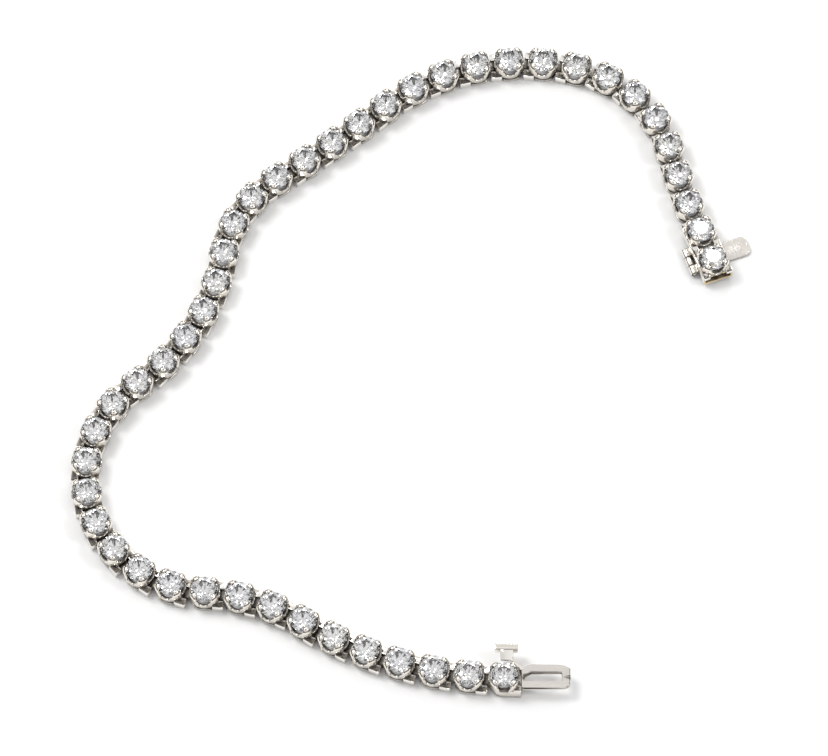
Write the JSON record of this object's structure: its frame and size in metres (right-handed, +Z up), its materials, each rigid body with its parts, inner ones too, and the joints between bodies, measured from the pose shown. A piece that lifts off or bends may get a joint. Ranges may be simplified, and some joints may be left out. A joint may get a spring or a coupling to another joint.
{
  "type": "tennis bracelet",
  "caption": "Open tennis bracelet of round stones in four-prong hinged links, with a box clasp, a hinged safety flap and a folded spring tongue.",
  "frame": {"origin": "centre of the bracelet's box, on the surface that it lies on", "axes": "+Z up from that surface, +Y along the longest side of the open S that it lies in, +X towards the clasp box and the tongue"},
  "size_m": [0.0784, 0.0834, 0.0033],
  "materials": {
    "white_gold": "polished white gold, bright cut edges",
    "diamond": "colourless round brilliant, polished facets"
  },
  "bodies": {
    "bracelet": {"clasp_box": "white_gold", "clasp_hinge_pin": "white_gold", "end_link": "white_gold", "tongue": "white_gold", "links_03_09": "white_gold", "links_10_16": "white_gold", "links_17_23": "white_gold", "links_24_30": "white_gold", "links_31_37": "white_gold", "links_38_44": "white_gold", "stone_01": "diamond", "stone_02": "diamond", "stone_03": "diamond", "stone_04": "diamond", "stone_05": "diamond", "stone_06": "diamond", "stone_07": "diamond", "stone_08": "diamond", "stone_09": "diamond", "stone_10": "diamond", "stone_11": "diamond", "stone_12": "diamond", "stone_13": "diamond", "stone_14": "diamond", "stone_15": "diamond", "stone_16": "diamond", "stone_17": "diamond", "stone_18": "diamond", "stone_19": "diamond", "stone_20": "diamond", "stone_21": "diamond", "stone_22": "diamond", "stone_23": "diamond", "stone_24": "diamond", "stone_25": "diamond", "stone_26": "diamond", "stone_27": "diamond", "stone_28": "diamond", "stone_29": "diamond", "stone_30": "diamond", "stone_31": "diamond", "stone_32": "diamond", "stone_33": "diamond", "stone_34": "diamond", "stone_35": "diamond", "stone_36": "diamond", "stone_37": "diamond", "stone_38": "diamond", "stone_39": "diamond", "stone_40": "diamond", "stone_41": "diamond", "stone_42": "diamond", "stone_43": "diamond", "stone_44": "diamond", "stone_45": "diamond"},
    "safety_flap": {"clasp_flap": "white_gold"}
  },
  "joints": [
    {"name": "safety_flap_hinge", "type": "hinge", "parent": "bracelet", "child": "safety_flap", "pos_m": [0.0322, 0.01372, 0.00055], "axis": [-0.342, 0.9397, 0], "range_deg": [0, 100]}
  ]
}
